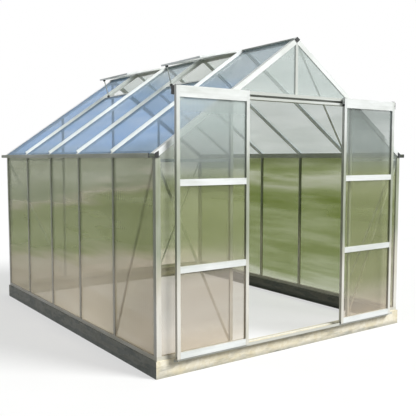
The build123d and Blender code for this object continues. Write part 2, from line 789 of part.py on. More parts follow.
# Flat ties and braces, bolted to the inner flanges of the bars
brace_depth = seat_depth + bar_wall
post_bolt = bar_depth + brace_width / 2 + slip    # from a corner bar's outer face
stud_bolt = (bar_stem + brace_width) / 2 + slip   # from a glazing bar's middle
post_line = half_width - post_bolt
jamb_line = jamb + stud_bolt
brace_head = eave_bottom - brace_top
tie_height = eave_bottom - tie_drop
brace_base = sill_top + brace_foot

with BuildPart() as gable_ties:
    with BuildSketch(across(front_face + brace_depth + brace_thick)):
        flat_bar((-post_line, tie_height), (-jamb_line, tie_height))
    extrude(amount=brace_thick)
    mirror(about=crossways)
    mirror(about=lengthways)
write(gable_ties, "gable_ties")

with BuildPart() as gable_braces:
    with BuildSketch(across(front_face + brace_depth + brace_thick)):
        flat_bar((-post_line, brace_head), (-jamb_line, brace_base))
    extrude(amount=brace_thick)
    mirror(about=crossways)
    mirror(about=lengthways)
write(gable_braces, "gable_braces")

with BuildPart() as wall_braces:
    with BuildSketch(Plane.YZ.offset(brace_depth - half_width)):
        stud_line = wall_middle + bay_lines_long[0] - stud_bolt
        flat_bar((front_face + post_bolt, eave_bottom - brace_width), (stud_line, brace_base))
    extrude(amount=brace_thick)
    mirror(about=crossways)
write(wall_braces, "wall_braces")

with BuildPart() as roof_brace:
    with BuildSketch(right_slope.offset(-brace_depth - brace_thick)):
        rafter_line = bay_lines_long[-1] + stud_bolt
        flat_bar((half_length - post_bolt, roof_brace_end), (rafter_line, slope_length - roof_brace_end))
    extrude(amount=brace_thick)
write(roof_brace, "roof_brace")
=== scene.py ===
import math

import bmesh
import bpy
from mathutils import Matrix, Vector


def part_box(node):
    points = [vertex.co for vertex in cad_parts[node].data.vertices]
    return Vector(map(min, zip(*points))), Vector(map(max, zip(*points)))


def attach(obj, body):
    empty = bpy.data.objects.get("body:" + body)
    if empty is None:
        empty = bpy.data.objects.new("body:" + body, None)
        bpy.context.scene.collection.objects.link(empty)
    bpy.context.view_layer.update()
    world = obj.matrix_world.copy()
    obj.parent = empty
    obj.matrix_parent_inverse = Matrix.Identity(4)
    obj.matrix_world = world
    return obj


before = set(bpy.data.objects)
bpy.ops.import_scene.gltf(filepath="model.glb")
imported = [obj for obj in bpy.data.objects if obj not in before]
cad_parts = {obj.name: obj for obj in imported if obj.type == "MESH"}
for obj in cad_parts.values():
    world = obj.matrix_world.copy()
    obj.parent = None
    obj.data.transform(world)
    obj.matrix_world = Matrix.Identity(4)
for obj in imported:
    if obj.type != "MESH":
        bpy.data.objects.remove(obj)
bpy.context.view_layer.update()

bl_info = {
    "name": "Greenhouse dressing",
    "version": (1, 0, 0),
    "blender": (4, 5, 0),
    "location": "3D View > Sidebar > Greenhouse",
    "description": "Finishes, small fittings and the stage for a twin-wall greenhouse with sliding doors",
    "category": "Object",
}

# Lengths are in metres
ridge_height = 2.400                    # over the floor
eave_height = 1.530                     # over the floor
half_width = 1.250                      # from the ridge out to the eave
roof_pitch = math.atan2(ridge_height - eave_height, half_width)
lid_open = math.radians(23)             # how far the vent lids stand open
bay_width = 0.620                       # from bar to bar, in the walls and on the roof
bar_places = {"X": 0.0, "Y": 0.340}     # where one of the bars stands along each axis
first_bay = 11                          # number of the bay after that bar
band_pitch = 2 * math.pi / 20           # pitch of a Wave Texture's bands at a scale of 1
facing = 0.99                           # a face faces an axis if its normal has this share along it
face_slack = 0.0001                     # a face this close to a plane lies in it
point_slack = 0.0002                    # a corner this close to the furthest one is level with it


def linear(code):
    """Turns an sRGB hex colour such as #B9BEBD into linear red, green and blue."""
    shares = [int(code[place:place + 2], 16) / 255 for place in (1, 3, 5)]
    return tuple(s / 12.92 if s <= 0.04045 else ((s + 0.055) / 1.055) ** 2.4 for s in shares)


def colour(name, code, description):
    """A colour that the user may change."""
    return bpy.props.FloatVectorProperty(
        name=name, description=description, subtype="COLOR", size=3, min=0, max=1, default=linear(code))


def length(name, metres, description):
    """A length that the user may change."""
    return bpy.props.FloatProperty(
        name=name, description=description, unit="LENGTH", min=0, precision=4, default=metres)


def angle(name, radians, description):
    """An angle that the user may change."""
    return bpy.props.FloatProperty(name=name, description=description, subtype="ANGLE", default=radians)


def strength(name, value, description):
    """A strength of light that the user may change."""
    return bpy.props.FloatProperty(name=name, description=description, min=0, default=value)


class GreenhouseColours(bpy.types.PropertyGroup):
    """Colours of the finishes and of the stage"""
    aluminium: colour("Aluminium", "#EDF0EE", "Mill-finish bars where they are clean")
    aluminium_dull: colour("Dull aluminium", "#CDD1CA", "Mill-finish bars where oxide has dulled them")
    # Film on bars is partly real and partly painted shade and painted reflection of green surroundings.
    bar_film_and_shade: colour("Film on bars", "#858D6C", "Mill-finish bars under a thin green film")
    bar_splash: colour("Splash on bars", "#D2C4AA", "Mill-finish bars with dried splash")
    zinc: colour("Zinc", "#F1EBD9", "Galvanised base where it has dried to a chalky bloom")
    zinc_dark: colour("Dark zinc", "#DACFAE", "Darker crystals of the galvanised base")
    # Damp zinc also serves as painted shade on the long sides of the base.
    zinc_damp_and_shade: colour("Damp zinc", "#6B6F6A", "Galvanised base where it stays damp")
    # Wall sheet tints are partly splash and green film and partly painted reflection of the surroundings seen in
    # and through the sheets.
    sheet_foot_and_reflection: colour("Sheet at the foot", "#EADFCC", "Wall sheet with dried splash")
    sheet_splash_and_reflection: colour("Sheet over the foot", "#E0D8CB", "Wall sheet where the splash thins out")
    sheet_film_and_reflection: colour("Filmed sheet", "#9AA668", "Wall sheet under a thin green film")
    sheet_haze_and_reflection: colour("Hazy sheet", "#BCC292", "Wall sheet under a thinner green film")
    sheet_eave: colour("Sheet at the eave", "#C6CAB4", "Wall sheet where the film thins out")
    sheet_grey_and_reflection: colour("Greyed sheet", "#BCC4C0", "Greyed sheet at the top of the doors")
    sheet_clean: colour("Clean sheet", "#E4ECEA", "Clean wall sheet above the eaves")
    # The roof sheet's blue is a painted reflection of the sky on the outer skin, paler at the ridge.
    sheet_roof_sky_reflection: colour("Sheet on the roof", "#ACD2FC", "Outer skin of a roof sheet, with its blue sun filter")
    sheet_ridge_sky_reflection: colour("Sheet at the ridge", "#D6E4F0", "Outer skin of a roof sheet, bleached at the ridge")
    sheet_inner: colour("Inner skin", "#CACFCB", "Inner skin of a roof sheet")
    sheet_vent: colour("Sheet in the vents", "#DDE4E8", "Newer sheet in the vent lids")
    plastic: colour("Black plastic", "#1D1F1F", "Caps, plugs, buffers and brackets")
    plastic_faded: colour("Faded plastic", "#343737", "Black plastic where it has chalked")
    nylon: colour("Nylon", "#DEDBCB", "Door rollers")
    nylon_worn: colour("Worn nylon", "#A9A698", "Door rollers where they have worn")
    zinc_plate: colour("Zinc plate", "#B4B6B4", "Bolts and washers")
    plate_yellow: colour("Yellow plate", "#B9B39E", "Yellow clouds in the zinc plate")
    plate_blue: colour("Blue plate", "#A7AEB6", "Blue clouds in the zinc plate")
    floor: colour("Floor", "#F6F6F4", "Studio floor")
    floor_scuffed: colour("Scuffed floor", "#F1F1EF", "Studio floor where it is scuffed")
    floor_lift: colour("Floor lift", "#FCFCFC", "What lifts the floor to the eye")
    floor_bounce: colour("Floor bounce", "#7A7A78", "Studio floor to the light that it throws back")
    ambient: colour("Ambient", "#F2F6FA", "Light from all round")


class GreenhouseSizes(bpy.types.PropertyGroup):
    """Sizes of the small fittings and of the patterns"""
    die_line: length("Die line", 0.004, "Width of the fine lines that the die leaves along a bar")
    die_line_length: length("Die line length", 0.7, "Length of the fine lines that the die leaves along a bar")
    oxide_patch: length("Oxide patch", 0.11, "Width of the dull patches on a bar")
    spangle: length("Spangle", 0.022, "Width of the zinc crystals on the base")
    bloom_patch: length("Bloom patch", 0.16, "Width of the patches in the bloom on the base")
    stain: length("Stain", 0.26, "Length of the stains on the base")
    flute: length("Flute", 0.030, "Pitch of the ribs inside a sheet")
    sheet_wave: length("Sheet wave", 0.24, "Width of the slow waves in a sheet")
    plastic_grain: length("Plastic grain", 0.0015, "Grain of the moulded plastic")
    chalk_patch: length("Chalk patch", 0.03, "Width of the chalked patches on the plastic")
    wear_patch: length("Wear patch", 0.008, "Width of the worn patches on the rollers")
    plate_cloud: length("Plate cloud", 0.006, "Width of the clouds in the zinc plate")
    scuff: length("Scuff", 0.8, "Width of the scuffs on the floor")
    brace_width: length("Brace width", 0.020, "Width of the flat ties and braces")
    bolt_head: length("Bolt head", 0.0058, "Radius of a bolt head over its corners")
    bolt_height: length("Bolt height", 0.0040, "Height of a bolt head")
    washer: length("Washer", 0.0085, "Radius of a washer")
    washer_thick: length("Washer thickness", 0.0012, "Thickness of a washer")
    buffer: length("Buffer", 0.020, "Side of the square buffers on the doors")
    buffer_thick: length("Buffer thickness", 0.0026, "Thickness of the buffers")
    buffer_drop: length("Buffer drop", 0.055, "From the top of a door to the middle of its buffer")
    cheek: length("Stay cheek", 0.018, "Width of the cheeks that hold a stay")
    cheek_height: length("Stay cheek height", 0.015, "Height of the cheeks that hold a stay")
    cheek_thick: length("Stay cheek thickness", 0.003, "Thickness of the cheeks that hold a stay")
    stay_width: length("Stay width", 0.014, "Width of a vent stay")
    stay_gap: length("Stay gap", 0.0003, "Gap between a vent stay and each of its cheeks")


class GreenhouseStage(bpy.types.PropertyGroup):
    """Floor, camera and light"""
    floor_width: length("Floor width", 60, "Side of the square floor")
    floor_lifted: bpy.props.FloatProperty(
        name="Floor lifted", description="How far the floor is lifted to the eye", subtype="FACTOR",
        min=0, max=1, default=0.6)
    lens: bpy.props.FloatProperty(
        name="Lens", description="Focal length of the camera", unit="CAMERA", min=1, default=53.656)
    sensor: bpy.props.FloatProperty(
        name="Sensor", description="Width of the camera's sensor", unit="CAMERA", min=1, default=36)
    reach: length("Reach", 200, "How far the camera sees")
    eye: bpy.props.FloatVectorProperty(
        name="Eye", description="Place of the camera", subtype="TRANSLATION", unit="LENGTH",
        default=(-3.3160, -5.0606, 1.4861))
    turn: angle("Turn", 0.6138, "From straight at the gable towards the right")
    tilt: angle("Tilt", 0.0801, "Down from level")
    key: strength("Key", 4.2, "Strength of the main lamp")
    key_turn: angle("Key turn", math.radians(36), "From the gable's front towards the right")
    key_height: angle("Key height", math.radians(40), "Above the horizon")
    key_spread: angle("Key spread", math.radians(24), "How wide the main lamp looks from the house")
    key_away: length("Key distance", 6, "Where the main lamp is drawn; its light is the same at any distance")
    ambient: strength("Ambient", 0.34, "Strength of the light from all round")


# --- small tools -------------------------------------------------------------------------------

def add(tree, kind, links=None, stops=None, **settings):
    """Adds one node with its settings, its colour stops, and its inputs' values or links.

    Inputs go by name, or by number where several share one. An input that is given a node is linked to the
    first of that node's outputs in use.
    """
    made = tree.nodes.new("ShaderNode" + kind)
    for key, value in settings.items():
        setattr(made, key, value)
    if stops:
        band = made.color_ramp.elements
        while len(band) < len(stops):
            band.new(1.0)
        for element, (place, shade) in zip(band, stops):
            element.position = place
            element.color = (*shade, 1.0)
    for key, value in (links or {}).items():
        if isinstance(value, bpy.types.Node):
            value = next(socket for socket in value.outputs if socket.enabled)
        if isinstance(value, bpy.types.NodeSocket):
            tree.links.new(value, made.inputs[key])
        else:
            made.inputs[key].default_value = value
    return made


def start_material(name):
    """A material of that name, and its node tree, which is empty."""
    material = bpy.data.materials.new(name)
    material.use_nodes = True
    material.node_tree.nodes.clear()
    return material, material.node_tree


def grey(value):
    """A linear grey."""
    return (value, value, value)


def by_height(levels):
    """Stops for a band of colours that runs from the floor to the ridge, from heights over the floor."""
    return [(height / ridge_height, shade) for height, shade in levels]


def background_share(tree):
    """1 where a ray shows the background, straight, mirrored or through a pane, and 0 for other light."""
    rays = add(tree, "LightPath")
    seen = add(tree, "Math", {0: rays.outputs["Is Camera Ray"], 1: rays.outputs["Is Glossy Ray"]},
               operation="MAXIMUM")
    return add(tree, "Math", {0: seen, 1: rays.outputs["Is Transmission Ray"]}, operation="MAXIMUM")


def dress(material, *nodes):
    """Gives CAD nodes this one material."""
    for name in nodes:
        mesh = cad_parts[name].data
        mesh.materials.clear()
        mesh.materials.append(material)


def start_piece():
    """Leaves edit mode and deselects everything, so that the next operator acts on its own piece alone."""
    if bpy.context.mode != "OBJECT":
        bpy.ops.object.mode_set(mode="OBJECT")
    bpy.ops.object.select_all(action="DESELECT")


def pick_faces(piece, test):
    """In edit mode, selects the faces whose middle and normal pass the test."""
    bpy.ops.mesh.select_mode(type="FACE")
    bpy.ops.mesh.select_all(action="DESELECT")
    shape = bmesh.from_edit_mesh(piece.data)
    for face in shape.faces:
        if test(face.calc_center_median(), face.normal):
            face.select_set(True)
    bmesh.update_edit_mesh(piece.data)


def pick_edges(piece, test):
    """In edit mode, selects the edges whose two ends pass the test."""
    bpy.ops.mesh.select_mode(type="EDGE")
    bpy.ops.mesh.select_all(action="DESELECT")
    shape = bmesh.from_edit_mesh(piece.data)
    for edge in shape.edges:
        if test(edge.verts[0].co, edge.verts[1].co):
            edge.select_set(True)
    bmesh.update_edit_mesh(piece.data)


def copy_to(model, places, name):
    """Copies a model to each place, a matrix, joins the copies as one piece and removes the model."""
    copies = []
    for place in places:
        start_piece()
        model.select_set(True)
        bpy.context.view_layer.objects.active = model
        bpy.ops.object.duplicate(linked=False)
        copy = bpy.context.active_object
        copy.matrix_world = place
        bpy.ops.object.transform_apply(location=True, rotation=True, scale=True)
        copies.append(copy)
    start_piece()
    for copy in copies:
        copy.select_set(True)
    bpy.context.view_layer.objects.active = copies[0]
    if len(copies) > 1:
        bpy.ops.object.join()
    piece = bpy.context.active_object
    piece.name = name
    piece.data.name = name
    bpy.ops.object.shade_smooth_by_angle(angle=math.radians(30))
    start_piece()
    model.select_set(True)
    bpy.ops.object.delete()
    return piece


def fit(piece, body, material):
    """Gives a new piece its material and the body it rides on."""
    piece.data.materials.clear()
    piece.data.materials.append(material)
    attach(piece, body)


def stand(point, up, along):
    """A place whose Z points up and whose X lies along."""
    up = Vector(up).normalized()
    side = up.cross(Vector(along)).normalized()
    ahead = side.cross(up)
    turned = Matrix((ahead, side, up)).transposed().to_4x4()
    return Matrix.Translation(Vector(point)) @ turned


def corners(node, test=lambda point: True):
    """The corner points of a CAD node that pass the test."""
    return [v.co.copy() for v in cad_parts[node].data.vertices if test(v.co)]


def ends(numbers, inset):
    """The lowest and the highest of the numbers, each moved in by the inset."""
    return min(numbers) + inset, max(numbers) - inset


def end_of(points, direction):
    """Middle of the points that lie furthest in a direction."""
    direction = Vector(direction)
    furthest = max(point.dot(direction) for point in points)
    last = [point for point in points if point.dot(direction) > furthest - point_slack]
    low = Vector([min(point[axis] for point in last) for axis in range(3)])
    high = Vector([max(point[axis] for point in last) for axis in range(3)])
    return (low + high) / 2


# --- materials ---------------------------------------------------------------------------------

# Mill-finish aluminium, extruded or rolled: a pale satin metal with fine lines along the bar from the die, and
# dull patches where oxide has grown, more of them the larger dull_by is. Bars in the walls carry dried splash
# at the foot and a thin green film in the middle, as the sheets do. That film is partly painted shade and
# painted reflection of green surroundings: its share is set high on uprights and on bars whose faces lie in
# shade, which makes them darker, greener and less metallic than the rails. The lines are really about half a
# millimetre wide and are drawn coarser to show. A sloping bar's lines follow its pitch, down from the ridge on
# either side.
def mill_aluminium(name, along, film_and_shade_share, dull_by=0.0, pitch=0.0):
    colours = bpy.context.scene.greenhouse_colours
    sizes = bpy.context.scene.greenhouse_sizes
    material, tree = start_material(name)
    place = add(tree, "TexCoord").outputs["Object"]
    if pitch:
        xyz = add(tree, "SeparateXYZ", {"Vector": place})
        away = add(tree, "Math", {0: xyz.outputs["X"]}, operation="ABSOLUTE")
        place = add(tree, "CombineXYZ", {"X": away, "Y": xyz.outputs["Y"], "Z": xyz.outputs["Z"]})
    line_size = tuple(sizes.die_line_length if axis == along else sizes.die_line for axis in "XYZ")
    along_bar = add(tree, "Mapping", {"Vector": place, "Rotation": (0, pitch, 0), "Scale": line_size},
                    vector_type="TEXTURE")
    lines = add(tree, "TexNoise", {"Vector": along_bar, "Scale": 1.0, "Detail": 2.0})
    drawn_out = 4   # how many times as long as wide the patches are
    patch_size = tuple(sizes.oxide_patch * (drawn_out if axis == along else 1) for axis in "XYZ")
    over_bar = add(tree, "Mapping", {"Vector": place, "Rotation": (0, pitch, 0), "Scale": patch_size},
                   vector_type="TEXTURE")
    patches = add(tree, "TexNoise", {"Vector": over_bar, "Scale": 1.0, "Detail": 5.0, "Roughness": 0.6})
    blotch = add(tree, "ValToRGB", {"Fac": patches},
                 stops=[(0.40 - dull_by, grey(0)), (0.72 - dull_by, grey(1))])
    metal = add(tree, "Mix", {"Factor": blotch, "A": (*colours.aluminium, 1), "B": (*colours.aluminium_dull, 1)},
                data_type="RGBA")

    xyz = add(tree, "SeparateXYZ", {"Vector": place})
    level = add(tree, "MapRange", {"Value": xyz.outputs["Z"], "From Max": ridge_height})
    tint_by_height = add(tree, "ValToRGB", {"Fac": level},
               stops=by_height([(0.55, colours.bar_splash), (0.85, colours.bar_film_and_shade)]))
    share_by_height = add(tree, "ValToRGB", {"Fac": level}, stops=by_height([
        (0.10, grey(0.5)), (0.55, grey(0.5)), (0.90, grey(1)), (1.40, grey(1)), (1.75, grey(0.1))]))
    # Each finish's share of film also stands for the shade and green reflection its bars show: painted shade and
    # painted reflection as well as film.
    cover = add(tree, "MapRange", {"Value": patches, "From Min": 0.3, "From Max": 0.7,
                                   "To Min": film_and_shade_share * 0.85, "To Max": film_and_shade_share * 1.15})
    film = add(tree, "Math", {0: cover, 1: share_by_height}, operation="MULTIPLY")
    filmed_and_shaded = add(tree, "Mix", {"Factor": film, "A": metal, "B": tint_by_height}, data_type="RGBA")

    line_shade = add(tree, "ValToRGB", {"Fac": lines}, stops=[(0.30, grey(0.90)), (0.62, grey(1))])
    streaked = add(tree, "Mix", {"Factor": 1.0, "A": filmed_and_shaded, "B": line_shade},
                   data_type="RGBA", blend_type="MULTIPLY")
    gloss = add(tree, "MapRange", {"Value": patches, "From Min": 0.3, "From Max": 0.75,
                                   "To Min": 0.36, "To Max": 0.54})
    # Bars with more film and painted shade are less metallic, so they reflect less.
    clean = 1 - film_and_shade_share
    bare = add(tree, "MapRange", {"Value": blotch, "To Min": 0.30 * clean, "To Max": 0.06 * clean})
    grooves = add(tree, "Bump", {"Height": lines, "Strength": 0.22, "Distance": 0.0006})
    shader = add(tree, "BsdfPrincipled", {
        "Base Color": streaked, "Metallic": bare, "Roughness": gloss, "Normal": grooves})
    add(tree, "OutputMaterial", {"Surface": shader})
    return material


# Hot-dip galvanised steel, folded: dull zinc with a spangle of crystals under a creamy bloom, with long grey
# stains and a darker foot where it stays damp. Where the share of shade is high, as on the long sides, the dark
# zinc is painted shade over most of the face. The spangle is really about 15 mm wide and is drawn coarser to
# show.
def galvanised_steel(name, painted_shade_share):
    colours = bpy.context.scene.greenhouse_colours
    sizes = bpy.context.scene.greenhouse_sizes
    material, tree = start_material(name)
    place = add(tree, "TexCoord").outputs["Object"]
    crystals = add(tree, "TexVoronoi", {"Vector": place, "Scale": 1 / sizes.spangle}, feature="F1")
    tone = add(tree, "SeparateColor", {"Color": crystals.outputs["Color"]})
    bloom = add(tree, "TexNoise", {"Vector": place, "Scale": 1 / sizes.bloom_patch,
                                   "Detail": 4.0, "Roughness": 0.6})
    spangle = add(tree, "Math", {0: tone.outputs["Red"], 1: 0.45}, operation="MULTIPLY")
    mottle = add(tree, "MapRange", {"Value": bloom, "From Min": 0.35, "From Max": 0.70, "To Max": 0.7})
    dark = add(tree, "Math", {0: spangle, 1: mottle}, operation="ADD", use_clamp=True)
    zinc = add(tree, "Mix", {"Factor": dark, "A": (*colours.zinc, 1), "B": (*colours.zinc_dark, 1)},
               data_type="RGBA")

    xyz = add(tree, "SeparateXYZ", {"Vector": place})
    ragged = add(tree, "Math", {0: bloom, 1: 0.05, 2: xyz.outputs["Z"]}, operation="MULTIPLY_ADD")
    foot = add(tree, "MapRange", {"Value": ragged, "From Min": 0.026, "From Max": 0.060,
                                  "To Min": 0.55, "To Max": 0.0})
    stain_size = (sizes.stain, sizes.stain, sizes.stain / 5)
    along = add(tree, "Mapping", {"Vector": place, "Scale": stain_size}, vector_type="TEXTURE")
    stains = add(tree, "TexNoise", {"Vector": along, "Scale": 1.0, "Detail": 4.0, "Roughness": 0.6})
    # Stains, and on the long sides painted shade over most of the face
    stains_and_shade = add(tree, "MapRange", {"Value": stains, "From Min": 0.52, "From Max": 0.70,
                                     "To Min": painted_shade_share, "To Max": painted_shade_share + 0.5})
    damp = add(tree, "Math", {0: foot, 1: stains_and_shade}, operation="ADD", use_clamp=True)
    footed = add(tree, "Mix", {"Factor": damp, "A": zinc, "B": (*colours.zinc_damp_and_shade, 1)}, data_type="RGBA")

    gloss = add(tree, "MapRange", {"Value": tone.outputs["Green"], "To Min": 0.45, "To Max": 0.68})
    relief = add(tree, "Bump", {"Height": crystals.outputs["Distance"], "Strength": 0.12, "Distance": 0.0008})
    shader = add(tree, "BsdfPrincipled", {
        "Base Color": footed, "Metallic": 0.12, "Roughness": gloss, "Normal": relief})
    add(tree, "OutputMaterial", {"Surface": shader})
    return material


# Polypropylene with carbon black, moulded: a matt grained black that chalks to grey in the sun. The grain is
# really about half a millimetre wide and is drawn coarser to show.
def black_polypropylene():
    colours = bpy.context.scene.greenhouse_colours
    sizes = bpy.context.scene.greenhouse_sizes
    material, tree = start_material("polypropylene_black_moulded")
    place = add(tree, "TexCoord").outputs["Object"]
    grain = add(tree, "TexNoise", {"Vector": place, "Scale": 1 / sizes.plastic_grain, "Detail": 3.0})
    chalk = add(tree, "TexNoise", {"Vector": place, "Scale": 1 / sizes.chalk_patch, "Detail": 4.0})
    faded = add(tree, "ValToRGB", {"Fac": chalk}, stops=[(0.4, colours.plastic), (0.75, colours.plastic_faded)])
    gloss = add(tree, "MapRange", {"Value": chalk, "To Min": 0.40, "To Max": 0.62})
    relief = add(tree, "Bump", {"Height": grain, "Strength": 0.25, "Distance": 0.0003})
    shader = add(tree, "BsdfPrincipled", {
        "Base Color": faded, "Roughness": gloss, "IOR": 1.49, "Normal": relief})
    add(tree, "OutputMaterial", {"Surface": shader})
    return material


# Nylon, turned: a waxy off-white that lets a little light in, with slight dents and grey where it has worn.
def turned_nylon():
    colours = bpy.context.scene.greenhouse_colours
    sizes = bpy.context.scene.greenhouse_sizes
    material, tree = start_material("nylon_turned")
    place = add(tree, "TexCoord").outputs["Object"]
    wear = add(tree, "TexNoise", {"Vector": place, "Scale": 1 / sizes.wear_patch, "Detail": 4.0})
    worn = add(tree, "ValToRGB", {"Fac": wear}, stops=[(0.45, colours.nylon), (0.8, colours.nylon_worn)])
    gloss = add(tree, "MapRange", {"Value": wear, "To Min": 0.3, "To Max": 0.5})
    relief = add(tree, "Bump", {"Height": wear, "Strength": 0.15, "Distance": 0.0003})
    shader = add(tree, "BsdfPrincipled", {
        "Base Color": worn, "Roughness": gloss, "IOR": 1.53, "Subsurface Weight": 0.1,
        "Subsurface Radius": (0.002, 0.002, 0.0015), "Normal": relief})
    add(tree, "OutputMaterial", {"Surface": shader})
    return material


# Zinc-plated steel, cold-headed: a bright grey metal with slight yellow and blue clouds.
def zinc_plated_steel():
    colours = bpy.context.scene.greenhouse_colours
    sizes = bpy.context.scene.greenhouse_sizes
    material, tree = start_material("zinc_plated_steel_cold_headed")
    place = add(tree, "TexCoord").outputs["Object"]
    clouds = add(tree, "TexNoise", {"Vector": place, "Scale": 1 / sizes.plate_cloud, "Detail": 3.0})
    plate = add(tree, "ValToRGB", {"Fac": clouds}, stops=[
        (0.35, colours.plate_yellow), (0.5, colours.zinc_plate), (0.65, colours.plate_blue)])
    gloss = add(tree, "MapRange", {"Value": clouds, "To Min": 0.28, "To Max": 0.46})
    shader = add(tree, "BsdfPrincipled", {"Base Color": plate, "Metallic": 1.0, "Roughness": gloss})
    add(tree, "OutputMaterial", {"Surface": shader})
    return material


# Twin-wall polycarbonate, extruded: two clear skins with ribs between them, so what is behind shows pale and a
# little streaked, and the skins shine in slow waves. The ribs are really about 10 mm apart and are drawn
# coarser to show. Wall sheets carry dried splash at the foot and a thin green film in the middle, which tints
# what is behind, veils it by up to most_veil a skin, and glows by glow_share where light falls through. The
# splash and film are partly painted reflection of the surroundings seen in and through the sheet, tan low down
# and green in the middle. The film's levels are ragged, differ from bay to bay, and may lean along the wall with
# those painted surroundings. A roof sheet's outer skin carries a painted reflection of the blue sky, and its
# inner skin has its own tint.
def twin_wall_polycarbonate(name, across, levels, inner=None, ragged_by=0.0, glow_share=0.5, most_veil=0.45,
                            lean=0.0):
    sizes = bpy.context.scene.greenhouse_sizes
    material, tree = start_material(name)
    spot = add(tree, "TexCoord")
    place = spot.outputs["Object"]
    ribs = add(tree, "TexWave", {"Vector": place, "Scale": band_pitch / sizes.flute},
               bands_direction=across, wave_profile="SIN").outputs["Fac"]
    wave_size = tuple(sizes.sheet_wave * share for share in (4.0, 4.0, 0.4))   # long, and close above each other
    slow = add(tree, "Mapping", {"Vector": place, "Scale": wave_size}, vector_type="TEXTURE")
    waves = add(tree, "TexNoise", {"Vector": slow, "Scale": 1.0, "Detail": 2.0})

    xyz = add(tree, "SeparateXYZ", {"Vector": place})
    swell = add(tree, "MapRange", {"Value": waves, "To Min": -ragged_by, "To Max": ragged_by})
    wavy = add(tree, "Math", {0: xyz.outputs["Z"], 1: swell}, operation="ADD")
    bays_before = first_bay - bar_places[across] / bay_width
    bays = add(tree, "Math", {0: xyz.outputs[across], 1: 1 / bay_width, 2: bays_before}, operation="MULTIPLY_ADD")
    bay = add(tree, "Math", {0: bays}, operation="FLOOR")
    chance = add(tree, "TexWhiteNoise", {"W": bay}, noise_dimensions="1D")
    apart = add(tree, "MapRange", {"Value": chance, "To Min": -ragged_by / 2, "To Max": ragged_by / 2})
    ragged = add(tree, "Math", {0: wavy, 1: apart}, operation="ADD")
    leaning = add(tree, "Math", {0: xyz.outputs[across], 1: lean, 2: ragged}, operation="MULTIPLY_ADD")
    level = add(tree, "MapRange", {"Value": leaning, "From Max": ridge_height})
    tints = by_height((height, tint) for height, tint, share in levels)
    shade = add(tree, "ValToRGB", {"Fac": level}, stops=tints)
    shares = by_height((height, grey(share)) for height, tint, share in levels)
    film = add(tree, "ValToRGB", {"Fac": level}, stops=shares)
    # Faces that point up take the outer tint, on the roof a painted reflection of the sky; faces that point down
    # take the inner skin's tint.
    if inner:
        normal = add(tree, "SeparateXYZ", {"Vector": spot.outputs["Normal"]})
        outer = add(tree, "MapRange", {"Value": normal.outputs["Z"], "From Min": -0.1, "From Max": 0.1})
        shade = add(tree, "Mix", {"Factor": outer, "A": (*inner, 1), "B": shade}, data_type="RGBA")

    rib = add(tree, "MapRange", {"Value": ribs, "To Min": 0.99, "To Max": 1.0})
    lit = add(tree, "Mix", {"Factor": 1.0, "A": shade, "B": rib}, data_type="RGBA", blend_type="MULTIPLY")
    uneven = add(tree, "MapRange", {"Value": waves, "From Min": 0.35, "From Max": 0.65,
                                    "To Min": 0.65, "To Max": 0.95})
    # How much the sheet tints what shows through it: partly film and partly painted reflection of the
    # surroundings.
    stain = add(tree, "Math", {0: film, 1: uneven}, operation="MULTIPLY")
    cast = add(tree, "Mix", {"Factor": stain, "A": (1, 1, 1, 1), "B": lit}, data_type="RGBA")
    veil = add(tree, "MapRange", {"Value": film, "To Min": 0.08, "To Max": most_veil})
    streak = add(tree, "MapRange", {"Value": ribs, "To Min": -0.003, "To Max": 0.003})
    opacity = add(tree, "Math", {0: veil, 1: streak}, operation="ADD", use_clamp=True)
    relief = add(tree, "Bump", {"Height": waves, "Strength": 0.2, "Distance": 0.004})
    skin = add(tree, "BsdfPrincipled", {
        "Base Color": lit, "Roughness": 0.22, "IOR": 1.58, "Specular IOR Level": 0.7, "Coat Weight": 1.0,
        "Coat Roughness": 0.12, "Coat IOR": 1.58, "Normal": relief})
    glow = add(tree, "BsdfTranslucent", {"Color": lit})
    sheet = add(tree, "MixShader", {0: glow_share, 1: skin, 2: glow})
    clear = add(tree, "BsdfTransparent", {"Color": cast})
    whole = add(tree, "MixShader", {0: opacity, 1: clear, 2: sheet})
    add(tree, "OutputMaterial", {"Surface": whole})
    return material


# --- operators ---------------------------------------------------------------------------------

class GREENHOUSE_OT_finish_bars(bpy.types.Operator):
    """Give every bar, rail, beam, gutter and brace its mill-finish aluminium, with lines along its length"""
    bl_idname = "greenhouse.finish_bars"
    bl_label = "Finish the bars"

    def execute(self, context):
        # Finish, axis that its bars run along, share of film and painted shade, how far it is dulled, pitch,
        # pieces
        bars = [
            ("extruded_upright", "Z", 0.10, 0.3, 0, ("studs_rear", "gable_mullion", "vent_stays")),
            # The weathered and filmed finishes are darker, greener copies for uprights and for bars whose faces
            # lie in shade: painted shade and painted reflection as well as film.
            ("extruded_upright_weathered_and_shaded", "Z", 0.75, 0, 0,
             ("door_left_stiles", "door_right_stiles", "door_jambs")),
            ("extruded_upright_filmed", "Z", 0.85, 0, 0, ("corner_posts", "studs_side")),
            ("extruded_crosswise", "X", 0, 0, 0, ("door_left_rails", "door_right_rails")),
            ("extruded_crosswise_weathered_and_shaded", "X", 0.40, 0.3, 0, ("door_header", "door_track", "door_guide")),
            ("extruded_crosswise_filmed", "X", 0.85, 0.3, 0, ("sills_front", "sill_rear", "threshold")),
            ("extruded_lengthwise", "Y", 0.05, 0, 0, ("ridge_bar", "vent_sills", "vent_frames")),
            ("extruded_lengthwise_filmed", "Y", 0.90, 0, 0,
             ("sills_side", "eave_beams", "gutters", "gutter_lips")),
            ("extruded_sloping", "X", 0, 0, roof_pitch, ("rafters", "gable_rafters")),
            ("rolled_flat", None, 0.10, 0, 0, ("gable_ties", "gable_braces", "wall_braces", "roof_brace")),
        ]
        for finish, along, film_and_shade_share, dull_by, pitch, nodes in bars:
            dress(mill_aluminium("aluminium_mill_" + finish, along, film_and_shade_share, dull_by, pitch), *nodes)
        return {"FINISHED"}


